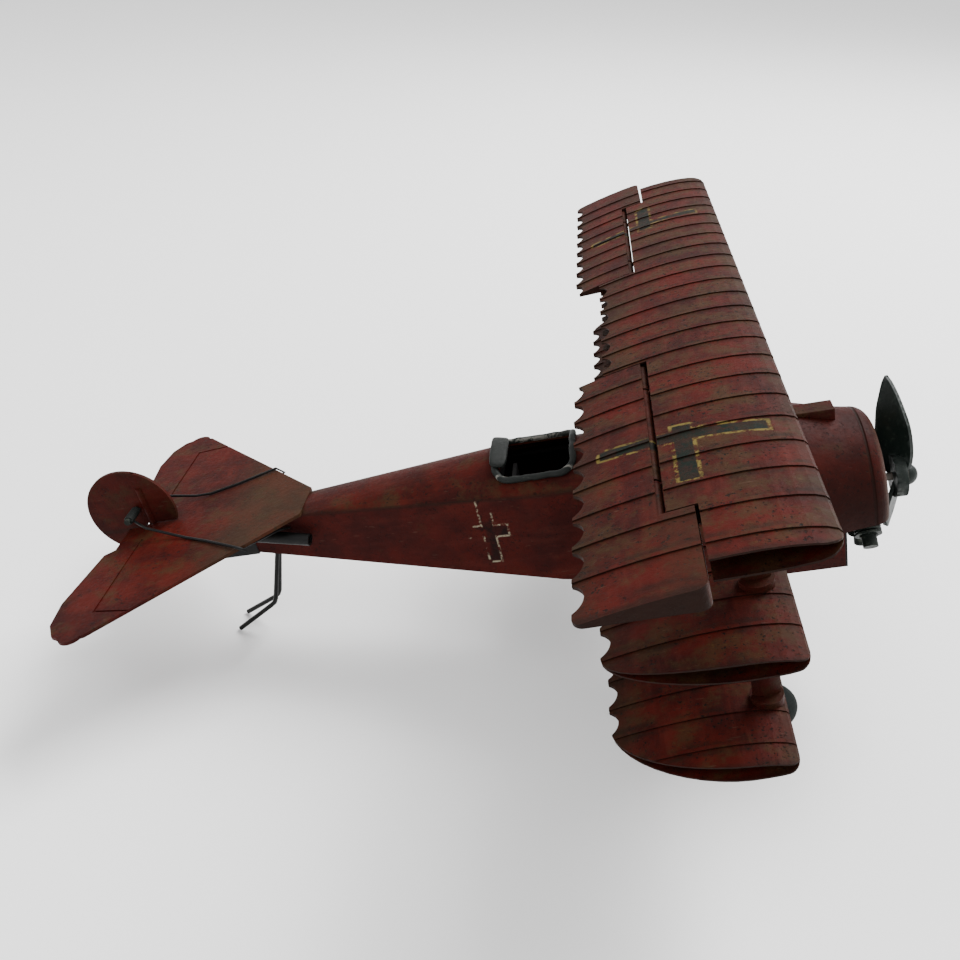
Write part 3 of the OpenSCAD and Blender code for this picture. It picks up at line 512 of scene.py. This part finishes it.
def dark_finish(name, base, worn, seed, wear=0.55, roughness=0.5, metal=0.0, grain=0.4, rubbed=False):
    """A dark brushed or metal surface; rubbed adds the pale line worn along the cockpit edging."""
    f = Finish(name, roughness, metal, 0.2)
    moved = f.node("ShaderNodeMapping")
    moved.inputs["Location"].default_value = (seed * 5.3, seed * 2.9, 0)
    f.link(f.level, moved.inputs["Vector"])
    where = moved.outputs["Vector"]
    blotch = f.noise(grain, 5, 0.7, where)
    colour = f.mix(f.ramp(blotch, wear, wear + 0.18), base, worn)
    dust = f.ramp(f.noise(grain * 0.3, 4, 0.6, where), 0.5, 0.75)
    colour = f.mix(f.math("MULTIPLY", dust, 0.15), colour, (0.03, 0.024, 0.016))
    if rubbed:
        inner_line = band(f, f.math("ABSOLUTE", f.y), 14.9, 0.4, 0.4)
        pale = f.math("MULTIPLY", inner_line, f.ramp(f.noise(0.35, 4, 0.7), 0.42, 0.55))
        colour = f.mix(pale, colour, (0.13, 0.125, 0.11))
    f.colour(colour)
    f.rough(f.math("MULTIPLY_ADD", blotch, 0.4, roughness - 0.2))
    f.bump(f.noise(grain * 2, 5, 0.7, where), 0.2, 0.7)
    return f.material


finishes["propeller"] = dark_finish("propeller_green", (0.006, 0.010, 0.008), (0.025, 0.033, 0.025), 1)
finishes["wheel"] = dark_finish("wheel_green", (0.007, 0.014, 0.011), (0.035, 0.04, 0.032), 2)
finishes["tyre"] = dark_finish("tyre_black", (0.008, 0.011, 0.010), (0.03, 0.035, 0.03), 3, 0.6, 0.75)
finishes["iron"] = dark_finish("engine_iron", (0.007, 0.010, 0.008), (0.045, 0.052, 0.04), 4,
                               0.5, 0.55, 0.35)
finishes["wire"] = dark_finish("black_wire", (0.004, 0.004, 0.004), (0.018, 0.017, 0.015), 5,
                               0.6, 0.45, 0.3, 0.8)
finishes["steel"] = dark_finish("tarnished_steel", (0.09, 0.08, 0.07), (0.04, 0.022, 0.014), 6,
                                0.5, 0.45, 0.8)
finishes["edging"] = dark_finish("edging_hide", (0.0045, 0.006, 0.005), (0.03, 0.033, 0.028), 7,
                                 0.6, 0.6, rubbed=True)
finishes["binding"] = dark_finish("waxed_binding", (0.008, 0.010, 0.009), (0.03, 0.034, 0.03), 8,
                                  0.6, 0.6, 0, 1.2)
finishes["inside"] = dark_finish("cockpit_black", (0.006, 0.005, 0.005), (0.02, 0.012, 0.01), 9, 0.6, 0.8)
print("finishes:", len(finishes))

# %% [markdown]
# ## Which part gets which finish
# Parts are named by what they are, so a short list of name beginnings is enough to dress them all.
# The first beginning that fits is taken, so a longer name stands before the shorter one it contains.

# %% Dress the parts
wardrobe = [
    ("top_wing", "top_wing"), ("aileron_pin", "steel"), ("aileron", "aileron"),
    ("middle_wing", "middle_wing"), ("lower_wing", "lower_wing"), ("fuselage_shell", "fuselage"),
    ("front_deck", "deck"), ("cockpit_deck", "deck"), ("rear_deck", "deck"), ("coaming", "edging"),
    ("headrest", "edging"), ("seat", "inside"), ("firewall", "inside"), ("cowling", "cowl"),
    ("cowl_strip", "deck"), ("crankcase", "iron"), ("cylinders", "iron"), ("propeller_shaft", "steel"),
    ("propeller_washer", "steel"), ("propeller", "propeller"), ("upper_strut", "metalwork"),
    ("lower_strut", "metalwork"), ("strut_sockets", "metalwork"), ("cabane", "metalwork"),
    ("leg", "metalwork"), ("axle_fairing", "lower_wing"), ("axle_cap", "steel"), ("axle", "steel"),
    ("wheel", "wheel"), ("tyre", "tyre"), ("tailplane", "tail"), ("tail_post", "metalwork"),
    ("tail_plate", "wire"), ("tail_skid", "wire"), ("rudder_pin", "steel"), ("rudder_horn", "iron"),
    ("rudder", "rudder"), ("horn_bindings", "binding"), ("control_cable", "wire"), ("brace", "wire"),
]


def finish_for(name):
    for start, key in wardrobe:
        if name.startswith(start):
            return finishes[key]
    raise ValueError("no finish for " + name)


for name, obj in nodes.items():
    obj.data.materials.clear()
    obj.data.materials.append(finish_for(name))
print("dressed", len(nodes), "parts")

# %% [markdown]
# ## Pieces with softened edges
# Cut sheet and filed metal never has a knife edge. Where a hard CAD edge would show, a copy of the
# part is welded, its flat faces are joined up, and a small bevel rounds its corners. The copy keeps the
# part's size, stands for it in the picture, and moves with the same body.

# %% Softened copies
body_of_node = {n: b for b, names in frame["record"]["behaviour"]["bodies"].items() for n in names}


def new_piece(name, work, material, *replaced, rides=True):
    """Turns a bmesh into a piece that stands for CAD parts and, if it rides, moves with their body."""
    mesh = bpy.data.meshes.new(name)
    work.to_mesh(mesh)
    work.free()
    mesh.materials.append(material)
    piece = bpy.data.objects.new(name, mesh)
    bpy.context.collection.objects.link(piece)
    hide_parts(*replaced)
    if rides:
        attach(piece, body_of_node[replaced[0]])
    return piece


def welded(node):
    work = bmesh.new()
    work.from_mesh(nodes[node].data)
    bmesh.ops.remove_doubles(work, verts=work.verts, dist=0.002 * mm)
    bmesh.ops.dissolve_limit(work, angle_limit=math.radians(1), verts=work.verts, edges=work.edges)
    return work


def smooth_by_angle(piece, degrees):
    piece.data.shade_smooth()
    piece.data.set_sharp_from_angle(angle=math.radians(degrees))


def round_corners(piece, radius_mm, sharper_than):
    """Rounds every edge where the surface turns by more than this many degrees."""
    rounding = piece.modifiers.new("rounding", "BEVEL")
    rounding.width = radius_mm * mm
    rounding.segments = 2
    rounding.limit_method = "ANGLE"
    rounding.angle_limit = math.radians(sharper_than)


def softened(node, radius_mm):
    """A copy of a CAD part with its hard edges rounded."""
    piece = new_piece(node + "_soft", welded(node), finish_for(node), node)
    round_corners(piece, radius_mm, 40)
    smooth_by_angle(piece, 40)
    return piece


rounded_parts = {
    "rudder": 0.3, "propeller_nut": 0.3, "cowl_strip": 0.3, "upper_strut_left": 0.3,
    "upper_strut_right": 0.3, "axle_fairing": 0.3, "tail_plate": 0.3,
}
made = [softened(node, radius) for node, radius in rounded_parts.items()]
print("softened copies:", [p.name for p in made])

# %% [markdown]
# ## The propeller
# The CAD part is a leaf of the right outline. Its faces are cut into small ones and pushed a little
# along the shaft by smooth noise, so light runs unevenly over the blades. The boss keeps its shape.

# %% Propeller with rippled blades
longest_edge = 3.0
boss_radius = 10
ripple_depth = 0.25


def rippled_propeller():
    """The CAD propeller with fine faces, a slight ripple on its blades and rounded edges."""
    work = welded("propeller")
    bmesh.ops.triangulate(work, faces=work.faces[:])
    for _ in range(3):
        long_edges = [e for e in work.edges if e.calc_length() > longest_edge * mm]
        bmesh.ops.subdivide_edges(work, edges=long_edges, cuts=1)
        bmesh.ops.triangulate(work, faces=work.faces[:])
    for vert in work.verts:
        from_hub = vert.co - hub
        along = from_hub.dot(thrust)
        radius = (from_hub - thrust * along).length
        if radius > boss_radius * mm:
            ripple = noise.noise(vert.co / mm * 0.12) * ripple_depth * mm
            vert.co -= thrust * ripple
    piece = new_piece("propeller_filed", work, finishes["propeller"], "propeller")
    round_corners(piece, 0.35, 50)
    smooth_by_angle(piece, 45)
    return piece


propeller = rippled_propeller()
print("propeller faces:", len(propeller.data.polygons))

# %% [markdown]
# ## Padded edging round the cockpit
# A strip of dark hide is rolled over the raw edge of the opening. A closed curve follows the
# opening's rounded corners and the arch of the deck, gets a round section and is turned into a
# mesh. Small noise makes it lumpy, as sewn hide is.

# %% Edging roll
cockpit_rear, cockpit_front = -103.2, -74.2
cockpit_half = 14.5
deck_half = 21.6
deck_rise = 10.0
roll = 1.35


def deck_height(y):
    """Height of the arched deck above the thrust line, in millimetres."""
    share = min(abs(y) / deck_half, 1.0)
    arch_radius = (deck_half ** 2 + deck_rise ** 2) / (2 * deck_rise)
    return crease_z + math.sqrt(arch_radius ** 2 - (share * deck_half) ** 2) - arch_radius + deck_rise


def rounded_loop(x0, x1, half, radius, steps=8):
    """Points round a rectangle with rounded corners, in level x and y."""
    points = []
    corners = [(x1 - radius, half - radius, 0), (x0 + radius, half - radius, 90),
               (x0 + radius, -half + radius, 180), (x1 - radius, -half + radius, 270)]
    for cx, cy, start in corners:
        for i in range(steps + 1):
            a = math.radians(start + 90 * i / steps)
            points.append((cx + radius * math.cos(a), cy + radius * math.sin(a)))
    return points


def tube(name, points, radius, closed, material, node, lumps=0.0, sides=6):
    """A round roll along points given in level millimetres, as a finished mesh piece."""
    curve = bpy.data.curves.new(name, "CURVE")
    curve.dimensions = "3D"
    curve.bevel_depth = radius * mm
    curve.bevel_resolution = sides
    curve.use_fill_caps = not closed
    line = curve.splines.new("POLY")
    line.points.add(len(points) - 1)
    for point, target in zip(points, line.points):
        target.co = (*ground(*point), 1)
    line.use_cyclic_u = closed
    holder = bpy.data.objects.new(name + "_curve", curve)
    bpy.context.collection.objects.link(holder)
    bpy.context.view_layer.update()
    shape = holder.evaluated_get(bpy.context.evaluated_depsgraph_get())
    work = bmesh.new()
    work.from_mesh(shape.to_mesh())
    bpy.data.objects.remove(holder)
    bmesh.ops.remove_doubles(work, verts=work.verts, dist=0.001 * mm)
    bmesh.ops.recalc_face_normals(work, faces=work.faces)
    for vert in work.verts:
        vert.co += vert.normal * noise.noise(vert.co / mm * 0.35) * lumps * mm
    piece = new_piece(name, work, material, node)
    piece.data.shade_smooth()
    return piece


loop = []
sparse = rounded_loop(cockpit_rear - roll, cockpit_front + roll, cockpit_half + roll, 6)
for i, (x, y) in enumerate(sparse):
    nx, ny = sparse[(i + 1) % len(sparse)]
    count = max(1, int(math.dist((x, y), (nx, ny)) / 1.2))
    loop += [(x + (nx - x) * k / count, y + (ny - y) * k / count) for k in range(count)]
edging = tube("cockpit_edging", [(x, y, deck_height(y) + 0.75) for x, y in loop], roll, True,
              finishes["edging"], "coaming", 0.35)
print("edging points:", len(edging.data.vertices))

# %% [markdown]
# ## The headrest pad
# A short stuffed pad sits on the rear rim. It starts from a box the size of the CAD solid, is
# rounded, subdivided, and pinched slightly where a seam would run.

# %% Headrest pad
pad_low, pad_high = (Vector(c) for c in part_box("headrest"))
pad_middle = (pad_low + pad_high) / 2
pad_size = pad_high - pad_low
pad = bmesh.new()
bmesh.ops.create_cube(pad, size=1)
bmesh.ops.bevel(pad, geom=pad.edges[:], offset=0.2, segments=3, profile=0.5, affect="EDGES", material=-1)
bmesh.ops.subdivide_edges(pad, edges=pad.edges[:], cuts=3, use_grid_fill=True, smooth=0.3)
for vert in pad.verts:
    across = vert.co.y * 2
    arch = 1 - 0.45 * across * across
    seam = 1 - 0.10 * math.exp(-((abs(across) - 0.5) / 0.08) ** 2)
    spot = Vector((vert.co.x * pad_size.x * 0.94, vert.co.y * pad_size.y * 0.97,
                   vert.co.z * pad_size.z * 0.9))
    spot.z = (spot.z + pad_size.z * 0.5) * arch * seam - pad_size.z * 0.5
    vert.co = pad_middle + spot
headrest = new_piece("headrest_pad", pad, finishes["edging"], "headrest")
headrest.data.shade_smooth()
print("headrest faces:", len(headrest.data.polygons))

# %% [markdown]
# ## Bound thread on the rudder horn
# Each end of the horn is bound with waxed thread. A helix of many short steps gives the turns. Both
# windings are one tube, which also runs straight between the outer ends of the two windings.

# %% Bindings
binding_low, binding_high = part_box("horn_bindings")
binding_mid = (Vector(binding_low) + Vector(binding_high)) / 2
horn_radius = (binding_high[2] - binding_low[2]) / 2 / mm
steps_per_turn = 14


def helix_points(y0, y1, radius, turns, side):
    """Points of a helix along the horn, from y0 to y1 on one side."""
    count = turns * steps_per_turn
    centre = to_ground.inverted() @ binding_mid
    points = []
    for i in range(count + 1):
        a = 2 * math.pi * i / steps_per_turn
        y = y0 + (y1 - y0) * i / count
        points.append((centre.x + radius * math.cos(a), side * y, centre.z + radius * math.sin(a)))
    return points


thread = 0.42
end_y = binding_high[1] / mm
windings = []
for side in (1, -1):
    route = helix_points(1.8 + thread, end_y - thread, horn_radius - thread, 12, side)
    windings.append(route)
join = windings[0] + list(reversed(windings[1]))
binding = tube("horn_thread", join, thread, False, finishes["binding"], "horn_bindings", 0.0, 2)
print("binding faces:", len(binding.data.polygons))

# %% [markdown]
# ## Control wires
# Two thin wires run from the horn over the tailplane, round its front edge and under it to the fuselage.
# Each is a welded copy of the CAD wire that rides no body.

# %% Control wires
wire_pieces = []
for side, sign in (("left", 1), ("right", -1)):
    node = "control_cable_" + side
    work_piece = new_piece(node + "_bent", welded(node), finishes["wire"], node, rides=False)
    smooth_by_angle(work_piece, 80)
    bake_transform(work_piece)
    wire_pieces.append(work_piece)
print("control wires:", len(wire_pieces))

# %% [markdown]
# ## The end

# %% The end
print("end of the script")
